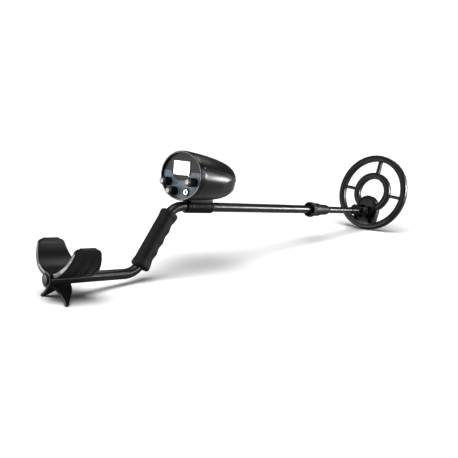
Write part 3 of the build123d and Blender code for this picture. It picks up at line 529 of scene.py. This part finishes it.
def armrest():
    floor = ([(-1, -1, -0.1), (1, -1, -0.1), (1, 1, -0.1), (-1, 1, -0.1),
              (-1, -1, 0), (1, -1, 0), (1, 1, 0), (-1, 1, 0)],
             [(0, 1, 2, 3), (4, 5, 6, 7), (0, 1, 5, 4), (1, 2, 6, 5), (2, 3, 7, 6), (3, 0, 4, 7)])
    tube = moved(turned([(150, 0), (150, TUBE_R), (300, TUBE_R), (300, 0)], 64), Matrix.Translation((0, 0, ARM_Z)))
    counterbore = moved(prism(circle(5.0, 48), -116, -100), Matrix.Translation((228, 0, 0)))
    piece("armrest_strap", cradle(), SHAFT, "handle", "satin_black", ["armrest_cradle"],
          cuts=[(tube, SHAFT), (counterbore, SHAFT)], angle=40)
    split = CRADLE_REAR - 0.1
    outline = rounded([(STAND_X0, 0), (STAND_X0, STAND_R), (split, STAND_R), (split, 13.0), (STAND_X1, 13.0),
                       (STAND_X1, 0)], 0.9, 3, closed=False)
    clamp = moved(turned(outline, 72), Matrix.Translation((0, 0, ARM_Z)))
    upper = prism([(split, -20), (240, -20), (240, 20), (split, 20)], ARM_Z - 1.2, ARM_Z + 20)
    piece("armrest_legs", clamp, SHAFT, "handle", "moulded_black", ["armrest_stand"],
          cuts=[(tube, SHAFT), (upper, SHAFT)], edge=0.4, angle=36)
    for side, name in ((1, "armrest_leg_far"), (-1, "armrest_leg_near")):
        piece(name, stand_leg(side), SHAFT, "handle", "moulded_black",
              cuts=[(floor, Matrix.Identity(4)), (tube, SHAFT)], angle=36)
    cap = rounded([(186.5, 0), (186.5, 8.0), (188.2, 9.6), (190.0, 9.6), (190.0, 8.3), (203, 8.3), (203, 6), (192, 6),
                   (192, 0)], 0.7, 3, closed=False)
    piece("tube_plug", moved(turned(cap, 72), Matrix.Translation((0, 0, ARM_Z))), SHAFT, "handle", "satin_black",
          ["tube_end_cap"])


# ---- grip ----
def grip():
    """Soft sleeve with flared ends, and a hollow for each finger on its front."""
    low = Vector((GRIP_LOW[0], 0, GRIP_LOW[1]))
    high = Vector((GRIP_HIGH[0], 0, GRIP_HIGH[1]))
    along = (high - low).normalized()
    front = Vector((along.z, 0, -along.x))
    side = Vector((0, 1, 0))
    middle = (low + high) / 2
    half = GRIP_LENGTH / 2
    profile = [(-half, 9.7), (-half, 12.6), (-half + 1.2, 15.4), (-half + 4, 17.2), (-half + 9, 16.8),
               (-half + 16, 15.7), (half - 14, 15.5), (half - 8, 16.4), (half - 4, 16.5), (half - 1.2, 15.2),
               (half, 12.6), (half, 9.7)]
    dense = []
    for (a0, r0), (a1, r1) in zip(profile, profile[1:]):
        steps = max(1, int(abs(a1 - a0) / 1.0))
        dense += [(a0 + (a1 - a0) * k / steps, r0 + (r1 - r0) * k / steps) for k in range(steps)]
    dense.append(profile[-1])
    fingers, pitch = 4, 24.5
    rings = []
    for a, r in dense:
        ring = []
        for i in range(72):
            angle = TAU * i / 72
            face = math.cos(angle)
            bite = 0.0
            inside = max(0.0, face) ** 1.6
            for f in range(fingers):
                u = abs(a - pitch * (f - (fingers - 1) / 2) - 1) / (pitch / 2)
                if u < 1:
                    bite = max(bite, math.cos(u * math.pi / 2) ** 2)
            here = r + (GRIP_FRONT * max(0.0, face) - 2.6 * bite * inside) * (1 if r > 12.7 else 0)
            ring.append(tuple(middle + along * a + (front * face + side * math.sin(angle)) * here))
        rings.append(ring)
    return loft(rings, closed=True)


def grips():
    piece("grip_sleeve", grip(), SHAFT, "handle", "soft_rubber", ["hand_grip"], angle=50)


# ---- shaft fittings ----
def coupling():
    x0, x1, r = COUPLING_X, COUPLING_X + COUPLING_LENGTH, 12.5
    outline = [(x0, 9.6), (x0, r - 1.2)]
    pitch = (x1 - x0 - 9) / COUPLING_RIBS
    for i in range(COUPLING_RIBS):
        a = x0 + 1 + pitch * i
        outline += [(a, r), (a + pitch * 0.58, r), (a + pitch * 0.68, r - 1.1), (a + pitch * 0.92, r - 1.1)]
    outline += [(x1 - 8, r), (x1 - 5, r), (x1, r - 2.2), (x1, 9.6)]
    return turned(rounded(outline, 0.45, 2), 80)


def collar():
    """Turning half of the twist lock, with thumb ribs round its open rear cup."""
    outline = rounded([(877, 14.8), (877, 17.0), (878.2, 17.8), (886, 17.8), (889, 16.4), (893, 15.3), (911, 15.3),
                       (913, 13.2), (944, 11.8), (953, 8.9), (953, 8.4), (946.5, 8.4), (945.5, 10.2), (930, 12.1),
                       (889.5, 12.1), (889.5, 14.8)], 0.8, 3)
    segments, ribs = 180, 18

    def scallop(x, r, a):
        if x < 888 and r > 15.2:
            return r - 0.8 * max(0.0, math.cos(a * ribs)) ** 3
        return r

    return turned(outline, segments, scallop)


def fittings():
    piece("coupling_sleeve", coupling(), SHAFT, "handle", "moulded_black", ["shaft_coupling"])
    saddle = moved(prism([(SADDLE_X[0], 8.5), (SADDLE_X[1], 8.5), (SADDLE_X[1], 17.6), (SADDLE_X[0], 17.6)],
                         -11.5, 11.5), ALONG_Y)
    bore = turned([(470, 0), (470, 12.6), (560, 12.6), (560, 0)], 64)
    piece("box_saddle", saddle, SHAFT, "handle", "moulded_black", ["box_bracket"],
          cuts=[(bore, SHAFT)], edge=0.8)
    piece("lock_ring", collar(), SHAFT, "lock_collar", "moulded_black", ["lock_collar"], angle=40)


# ---- control box ----
SHELL_STATIONS = ((SHELL_X, 59.5, 107.2, 12.7), (500, 58.4, 104.2, 13.3), (530, 55.0, 99.6, 14.6),
                  (555, 48.9, 94.2, 17.0), (573, 40.0, 88.5, 21.5), (586, 28.0, 80.5, 29.0), (NOSE_X, 6.0, 60.0, 49.0))
CREASE = 1.6


def shell_station(x):
    """(half width, top, bottom) of the box at x, on a smooth curve through the stations."""
    rows = SHELL_STATIONS
    for i in range(len(rows) - 1):
        if x <= rows[i + 1][0] or i == len(rows) - 2:
            break
    a, b = rows[i], rows[i + 1]
    before, after = rows[max(i - 1, 0)], rows[min(i + 2, len(rows) - 1)]
    t = (x - a[0]) / (b[0] - a[0])
    out = []
    for k in (1, 2, 3):
        slope_a = (b[k] - before[k]) / (b[0] - before[0]) * (b[0] - a[0])
        slope_b = (after[k] - a[k]) / (after[0] - a[0]) * (b[0] - a[0])
        h = (2 * t ** 3 - 3 * t ** 2 + 1, t ** 3 - 2 * t ** 2 + t, -2 * t ** 3 + 3 * t ** 2, t ** 3 - t ** 2)
        out.append(h[0] * a[k] + h[1] * slope_a + h[2] * b[k] + h[3] * slope_b)
    return out


def crease_angle(x, rise, z):
    """Angle round the section at which the crease runs along the side."""
    line = 80.0 - 0.20 * (x - SHELL_X)
    return math.asin(max(-0.75, min(0.75, (line - z) / rise)))


def shell_skin(inset):
    """Rings of the box's skin; inset moves it inwards. The outside has a crease and a swept hollow each side."""
    rings = []
    count, low, high = 84, 46, 34
    end = NOSE_X - inset
    for k in range(count + 1):
        t = k / count
        x = SHELL_X + (end - SHELL_X) * (1 - (1 - t) ** 1.7)
        half, top, bottom = shell_station(min(x + inset * 0.6, NOSE_X - 0.1))
        half, rise, z = max(half - inset, 0.6), max((top - bottom) / 2 - inset, 0.6), (top + bottom) / 2
        crease = crease_angle(x, rise, z)
        step = 1.2 / rise
        side = [-math.pi / 2 + (crease - step + math.pi / 2) * i / low for i in range(low + 1)]
        side += [crease + (math.pi / 2 - crease) * i / high for i in range(high)]
        angles = side + [math.pi - a for a in [math.pi / 2] + side[:0:-1]]
        ring = []
        for a in angles:
            p = (x, half * math.cos(a), z + rise * math.sin(a))
            ring.append(p if inset else relieved(p, x, a if a <= math.pi / 2 else math.pi - a, crease, half, rise, z))
        rings.append(ring)
    return rings


def relieved(p, x, a, crease, half, rise, z):
    """Presses the crease line and the swept hollow into the skin."""
    _, y, h = p
    depth = 0.0
    fade = min(1.0, max(0.0, (590 - x) / 30)) * min(1.0, max(0.0, (x - SHELL_X) / 6))
    below = (crease - a) * rise
    if below > 0.5:
        depth += CREASE * fade * max(0.0, 1 - (below - 0.5) / 26) ** 1.3
    u = (x - 560) / 30
    if abs(u) < 1 and abs(y) / half > 0.45:
        centre = 47.0 + 3.0 * u
        spread = 12.0 * (1 - u * u) ** 0.7
        v = abs(h - centre) / max(spread, 0.1)
        if v < 1:
            depth += 1.7 * (1 - v ** 4) * (1 - abs(u) ** 4)
    centre = Vector((x, 0, z))
    out = Vector(p) - centre
    return tuple(centre + out * (1 - depth / out.length))


def box():
    wall = 2.6
    outside, inside = shell_skin(0), shell_skin(wall)
    points, faces = loft(outside + inside[::-1], closed=True, caps=False)
    count = len(outside[0])
    bridge = len(outside) - 1
    keep = [f for f in faces if not (min(f) // count == bridge and max(f) // count == bridge + 1)]
    tips = (tuple(range(bridge * count, (bridge + 1) * count)),
            tuple(reversed(range((bridge + 1) * count, (bridge + 2) * count))))
    shape = (points, keep + list(tips))
    door = moved(prism([(x, z) for x, z in zip(DOOR_X + DOOR_X[::-1], (DOOR_Z[0],) * 2 + (DOOR_Z[1],) * 2)], 10, 70),
                 ALONG_Y)
    holes = [prism(circle(1.6, 16, 0, BOX_Z), NOSE_X - 28, NOSE_X + 6)]
    for total, radius in ((6, 6.0), (12, 12.0)):
        holes += [prism(circle(1.6, 16, radius * math.cos(TAU * i / total), BOX_Z + radius * math.sin(TAU * i / total)),
                        NOSE_X - 28, NOSE_X + 6) for i in range(total)]
    holes = moved(joined(*holes), ALONG_X)
    socket = moved(prism(circle(7.5, 40, SOCKET_X, SOCKET_Z), 26, 60), ALONG_Y)
    piece("box_body", shape, SHAFT, "handle", "shell_black", ["box_shell"],
          cuts=[(door, SHAFT), (holes, SHAFT), (socket, SHAFT)], angle=38)


def control_knobs():
    x0 = PANEL_X - 0.6 - KNOB_LENGTH
    x1 = x0 + KNOB_LENGTH
    flutes = 20

    def fluted(x, r, a):
        if r < KNOB_R - 1.2 or x > x1 - 2.0:
            return r
        return r - 0.7 * max(0.0, math.cos(a * flutes)) ** 2

    body = x0 + KNOB_CAP
    skirt = rounded([(body + 1.0, 0), (body + 1.0, 6.6), (body, 6.8), (body, 7.4), (body + 1.2, KNOB_R),
                     (x1 - 2.0, KNOB_R), (x1, KNOB_R), (x1, 5.8), (x1 - 4, 5.8), (x1 - 4, 3.2), (body + 4, 3.2),
                     (body + 4, 0)], 0.5, 3, closed=False)
    face = rounded([(x0, 0), (x0, 5.2), (x0 + 0.9, 6.3), (body + 1.1, 6.6), (body + 1.1, 0)], 0.6, 3, closed=False)
    mark = moved(prism(rounded([(-0.35, 1.8), (0.35, 1.8), (0.35, 4.8), (-0.35, 4.8)], 0.15, 2), x0 - 0.05, x0 + 0.3),
                 ALONG_X)
    for name, (y, z) in KNOBS.items():
        at = SHAFT @ Matrix.Translation((0, y, z))
        piece(name + "_knob_skirt", turned(skirt, 200, fluted), at, name + "_knob", "knob_black",
              [name + "_knob"], angle=40)
        piece(name + "_knob_face", turned(face, 72), at, name + "_knob", "knob_cap")
        piece(name + "_knob_mark", mark, at, name + "_knob", "print_dark")


def flat_marks(outlines, x, thick):
    """Printed marks on a face square to X."""
    return moved(joined(*[prism(o, x - thick, x) for o in outlines]), ALONG_X)


def bar_mark(y, z, long, wide, turn=0.0):
    c, s = math.cos(turn), math.sin(turn)
    corners = rounded([(-long / 2, -wide / 2), (long / 2, -wide / 2), (long / 2, wide / 2), (-long / 2, wide / 2)],
                      wide * 0.3, 2)
    return [(y + a * c - b * s, z + a * s + b * c) for a, b in corners]


def arc_mark(y, z, radius, width, start, end, steps=40):
    """Strip along an arc; angles are degrees from straight up, towards +Y."""
    out = []
    for r, order in ((radius - width / 2, range(steps + 1)), (radius + width / 2, range(steps, -1, -1))):
        for k in order:
            a = math.radians(start + (end - start) * k / steps)
            out.append((y + r * math.sin(a), z + r * math.cos(a)))
    return out


def panel_print():
    """Tick scales round the knobs and the plain dashes that stand in for their captions."""
    marks = []
    for name, (y, z) in KNOBS.items():
        for k in range(9):
            a = math.radians(-120 + 30 * k)
            r = 11.2
            marks.append(bar_mark(y + r * math.sin(a), z + r * math.cos(a), 1.5, 0.4, math.pi / 2 - a))
    for y, z, long in ((37, 60.5, 9.0), (15, 43.5, 8.0), (-37, 64.6, 10.0), (-16, 40.5, 7.0)):
        marks.append(bar_mark(y, z, long, 1.3))
    piece("panel_print", flat_marks(marks, PANEL_X, 0.08), SHAFT, "handle", "print_dark")


def meter_frame():
    """Thin dark rim round the meter's window."""
    def outline(half_y, half_z, radius):
        corners = [(-half_y, -half_z), (half_y, -half_z), (half_y, half_z), (-half_y, half_z)]
        return [(METER_Y + y, METER_Z + z) for y, z in rounded(corners, radius, 3)]

    wide, tall = METER_W / 2, METER_H / 2
    rings = []
    for half_y, half_z, x in ((wide - 0.9, tall - 0.9, PANEL_X - 0.05), (wide - 0.9, tall - 0.9, PANEL_X - 0.8),
                              (wide - 0.5, tall - 0.5, PANEL_X - 1.0), (wide, tall, PANEL_X - 1.0),
                              (wide + 0.5, tall + 0.5, PANEL_X - 0.6), (wide + 0.5, tall + 0.5, PANEL_X - 0.05)):
        rings.append([(x, y, z) for y, z in outline(half_y, half_z, 1.2)])
    piece("meter_rim", loft(rings, closed=True), SHAFT, "handle", "gloss_black", edge=0.0)


def dial_digits(hub_z, radius):
    """Numbers of the dial's scale, as flat meshes."""
    shapes = []
    for k in range(6):
        text = bpy.data.curves.new("digits", "FONT")
        text.body = str(k * 20)
        text.size, text.align_x, text.align_y, text.extrude = 3.0, "CENTER", "CENTER", 0.04
        holder = bpy.data.objects.new("digits", text)
        bpy.context.scene.collection.objects.link(holder)
        bpy.context.view_layer.update()
        mesh = bpy.data.meshes.new_from_object(holder.evaluated_get(bpy.context.evaluated_depsgraph_get()))
        bpy.data.objects.remove(holder)
        a = math.radians(-36 + 14.4 * k)
        y, z = METER_Y + radius * math.sin(a), hub_z + radius * math.cos(a)
        # seen from behind the box, so the text runs towards -Y
        points = [(PANEL_X + DIAL_DEPTH - 0.04 - p.co.z, y - p.co.x, z + p.co.y) for p in mesh.vertices]
        shapes.append((points, [tuple(f.vertices) for f in mesh.polygons]))
        bpy.data.meshes.remove(mesh)
    return joined(*shapes)


def dial_scale():
    hub_z = METER_Z - METER_H / 2 + 5.0
    dial_x = PANEL_X + DIAL_DEPTH
    ticks = [arc_mark(METER_Y, hub_z, 16.0, 0.35, -38, 38)]
    for k in range(26):
        a = math.radians(-36 + 72 * k / 25)
        long = 2.4 if k % 5 == 0 else 1.3
        r = 16.0 + long / 2
        ticks.append(bar_mark(METER_Y + r * math.sin(a), hub_z + r * math.cos(a), long, 0.3, math.pi / 2 - a))
    ticks += [arc_mark(METER_Y, hub_z, 11.5, 0.3, -38, 38), bar_mark(METER_Y - 15, METER_Z - 9, 12, 0.5),
              bar_mark(METER_Y + 14, METER_Z - 9, 9, 0.5)]
    piece("dial_ticks", flat_marks(ticks, dial_x, 0.05), SHAFT, "handle", "print_dark")
    piece("dial_numbers", dial_digits(hub_z, 20.4), SHAFT, "handle", "print_dark")
    red = [arc_mark(METER_Y, hub_z, 14.4, 1.4, 14, 38), bar_mark(METER_Y, METER_Z - 10.8, 30, 0.6)]
    piece("dial_red_zone", flat_marks(red, dial_x, 0.05), SHAFT, "handle", "print_red")


# ---- search coil ----
def ring_profile(outer, width, low, high):
    """Section of a ring: a domed top with a thin step round its inner edge."""
    inner = outer - width
    return rounded([(low, inner), (low, outer), (high - 3.2, outer), (high - 0.9, outer - 1.1), (high, outer - 3.4),
                    (high, inner + 4.4), (high - 1.2, inner + 3.6), (high - 1.2, inner + 1.6), (high - 2.6, inner)],
                   1.0, 3)


def boss_profile():
    return rounded([(COIL_SPLIT, 0), (COIL_SPLIT, BOSS_R), (BOSS_TOP - 3, BOSS_R), (BOSS_TOP - 0.8, BOSS_R - 0.8),
                    (BOSS_TOP, BOSS_R - 2.8), (BOSS_TOP, BOSS_R - 4.4), (BOSS_TOP - 1.4, BOSS_R - 4.6),
                    (BOSS_TOP - 1.4, 0)], 0.8, 3, closed=False)


def lug():
    """Outline of an ear about the tilt bolt: a round top running down to a wide foot."""
    drop = PIVOT_AT.z - COIL_TOP + 3
    top = [(13 * math.cos(a), 13 * math.sin(a)) for a in [math.radians(8 + 164 * k / 28) for k in range(29)]]
    return top + [(-19, -drop), (19, -drop)]


def coil():
    rings = (("coil_outer_ring", COIL_R, RING_WIDTH, ["coil_shell"]), ("coil_inner_ring", INNER_RING_R, INNER_RING_WIDTH, []))
    for name, radius, width, stands_for in rings:
        piece(name, moved(turned(ring_profile(radius, width, COIL_SPLIT, COIL_TOP), 200), X_TO_Z), COIL, "coil",
              "satin_black", stands_for, angle=50)
    inner, outer = INNER_RING_R - 1.5, COIL_R - RING_WIDTH + 1.5
    arm = rounded([(-SPOKE_HALF, COIL_SPLIT), (SPOKE_HALF, COIL_SPLIT), (SPOKE_HALF, SPOKE_TOP),
                   (-SPOKE_HALF, SPOKE_TOP)], 1.6, 3)
    spokes = [moved(prism(arm, inner, outer), ALONG_X)]
    for side in (1, -1):
        turn = Matrix.Rotation(side * math.pi / 2, 4, "Z")
        spokes.append(moved(moved(prism(arm, inner, outer), ALONG_X), turn))
    piece("coil_spokes", joined(*spokes), COIL, "coil", "satin_black", angle=50)
    edge = [(-COIL_R + RING_WIDTH / 2, -33), (-42, -33), (-42, 33), (-COIL_R + RING_WIDTH / 2, 33)]
    web_shape = prism(edge, COIL_SPLIT, COIL_TOP - 0.4)
    reach = prism(circle(COIL_R - 3, 128), COIL_SPLIT - 1, COIL_TOP + 1)
    pockets = joined(*[prism(rounded([(-80, s * (EAR_OUT + 1.2)), (-47, s * (EAR_OUT + 1.2)), (-47, s * 29), (-80, s * 29)],
                                     3.0, 4), -2.5, 30) for s in (1, -1)])
    web = new_object("coil_web", new_mesh("coil_web", web_shape, COIL))
    carve(web, reach, COIL, "INTERSECT")
    carve(web, pockets, COIL)
    soften(web, 0.8)
    smooth(web)
    web.data.materials.clear()
    web.data.materials.append(MATERIALS["satin_black"])
    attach(web, "coil")
    boss_at = COIL @ Matrix.Translation((BOSS_S, 0, 0))
    piece("coil_boss", moved(turned(boss_profile(), 128), X_TO_Z), boss_at, "coil", "satin_black",
          angle=50)
    lid = rounded([(BOSS_TOP - 1.4, 0), (BOSS_TOP - 1.4, BOSS_R - 4.8), (BOSS_TOP + 0.1, BOSS_R - 4.9),
                   (BOSS_TOP + 0.5, BOSS_R - 6.2), (BOSS_TOP + 0.9, 0)], 0.6, 3, closed=False)
    piece("coil_boss_disc", moved(turned(lid, 128), X_TO_Z), boss_at, "coil", "satin_black",
          ["coil_boss_cap"], angle=50)
    ears = [moved(prism(lug(), low, high), ALONG_Y) for low, high in ((EAR_IN, EAR_OUT), (-EAR_OUT, -EAR_IN))]
    piece("coil_ears", joined(*ears), PIVOT, "coil", "satin_black", edge=0.9)


def lobed(radius, depth, lobes, segments=144):
    out = []
    for i in range(segments):
        a = TAU * i / segments
        out.append(((radius - depth * (0.5 - 0.5 * math.cos(lobes * a))) * math.cos(a),
                    (radius - depth * (0.5 - 0.5 * math.cos(lobes * a))) * math.sin(a)))
    return out


def tilt_knob():
    knob = cushioned(lobed(12.6, 2.4, 6), EAR_OUT + 2.4, EAR_OUT + 14, 1.6)
    base = cushioned(circle(10.2, 72), EAR_OUT + 1.2, EAR_OUT + 3.2, 0.4)
    bore = moved(prism(circle(3.1, 40), EAR_OUT - 1, EAR_OUT + 13.2), ALONG_Y)
    obj = piece("tilt_knob", moved(knob, ALONG_Y), PIVOT, "pivot_knob", "moulded_black", ["pivot_knob"],
                cuts=[(bore, PIVOT)], angle=40)
    piece("tilt_knob_base", moved(base, ALONG_Y), PIVOT, "pivot_knob", "moulded_black",
          cuts=[(bore, PIVOT)], angle=40)
    return obj


# ---- floor, light and camera ----
def stage():
    bm = bmesh.new()
    bmesh.ops.create_circle(bm, cap_ends=True, segments=96, radius=14.0)
    mesh = bpy.data.meshes.new("floor")
    bm.to_mesh(mesh)
    bm.free()
    floor = new_object("floor", mesh)
    material, tree, bsdf = shader("pale_floor")
    tree.links.new(ramp(tree, noise(tree, 3.0), [(0.3, grey(0.80)), (0.7, grey(0.82))]), bsdf.inputs["Base Color"])
    bsdf.inputs["Roughness"].default_value = 0.9
    bsdf.inputs["Specular IOR Level"].default_value = 0.1
    mesh.materials.append(material)


def studio_light():
    """White round the object for the camera, a dim room for everything else, a broad sun and two soft boxes."""
    world = bpy.data.worlds.new("studio")
    bpy.context.scene.world = world
    world.use_nodes = True
    tree = world.node_tree
    room = tree.nodes["Background"]
    room.inputs["Color"].default_value = (1, 1, 1, 1)
    room.inputs["Strength"].default_value = 0.12
    seen = tree.nodes.new("ShaderNodeBackground")
    seen.inputs["Color"].default_value = (1, 1, 1, 1)
    ray = tree.nodes.new("ShaderNodeLightPath")
    mix = tree.nodes.new("ShaderNodeMixShader")
    tree.links.new(ray.outputs["Is Camera Ray"], mix.inputs["Fac"])
    tree.links.new(room.outputs["Background"], mix.inputs[1])
    tree.links.new(seen.outputs["Background"], mix.inputs[2])
    tree.links.new(mix.outputs["Shader"], tree.nodes["World Output"].inputs["Surface"])
    sun = bpy.data.lights.new("sun", "SUN")
    sun.energy, sun.angle = 3.6, math.radians(60)
    obj = new_object("sun", sun)
    obj.rotation_euler = (math.radians(8), math.radians(-10), 0)
    # name, place, target, width, height, power, and whether it lights matt surfaces or shows only in shiny ones
    lamps = (("left_box", (-1.65, 1.15, 0.25), (-0.3, 0, 0.1), 1.0, 0.5, 42.0, False),
             ("left_fill", (-1.5, 0.6, 0.8), (0, 0, 0.1), 0.8, 0.8, 7.0, True),
             ("right_box", (1.35, -0.85, 0.22), (0.3, 0, 0.1), 0.9, 0.4, 38.0, False),
             ("near_box", (0.15, -1.15, 0.12), (-0.45, 0, 0.07), 0.5, 0.22, 9.0, False),
             ("mid_box", (1.0, -1.15, 0.8), (-0.2, 0, 0.1), 0.8, 0.4, 9.0, False),
             ("over_box", (0.95, 0.2, 1.5), (-0.3, 0, 0.1), 0.9, 0.7, 12.0, False))
    for name, at, target, wide, tall, power, lights_all in lamps:
        lamp = bpy.data.lights.new(name, "AREA")
        lamp.shape, lamp.size, lamp.size_y, lamp.energy = "RECTANGLE", wide, tall, power
        obj = new_object(name, lamp)
        obj.location = at
        obj.rotation_mode = "QUATERNION"
        obj.rotation_quaternion = (Vector(target) - Vector(at)).to_track_quat("-Z", "Y")
        obj.visible_diffuse, obj.visible_camera = lights_all, False
    view = bpy.context.scene.view_settings
    view.view_transform = "Standard"
    view.gamma = 0.74
    view.exposure = 0.15


def camera():
    lens = bpy.data.cameras.new("camera")
    lens.lens, lens.sensor_width = 50.0, 36.0
    lens.clip_start, lens.clip_end = 0.05, 60.0
    obj = new_object("camera", lens)
    right, up = Vector((0.70444, -0.70969, 0.00987)), Vector((0.13062, 0.14331, 0.98102))
    turn = Matrix((right, up, right.cross(up))).transposed().to_4x4()
    obj.matrix_world = Matrix.Translation((-1.0036, -0.91769, 0.32679)) @ turn
    bpy.context.scene.camera = obj


dress_cad_nodes()
armrest()
grips()
fittings()
box()
control_knobs()
panel_print()
meter_frame()
dial_scale()
coil()
tilt_knob()
stage()
studio_light()
camera()
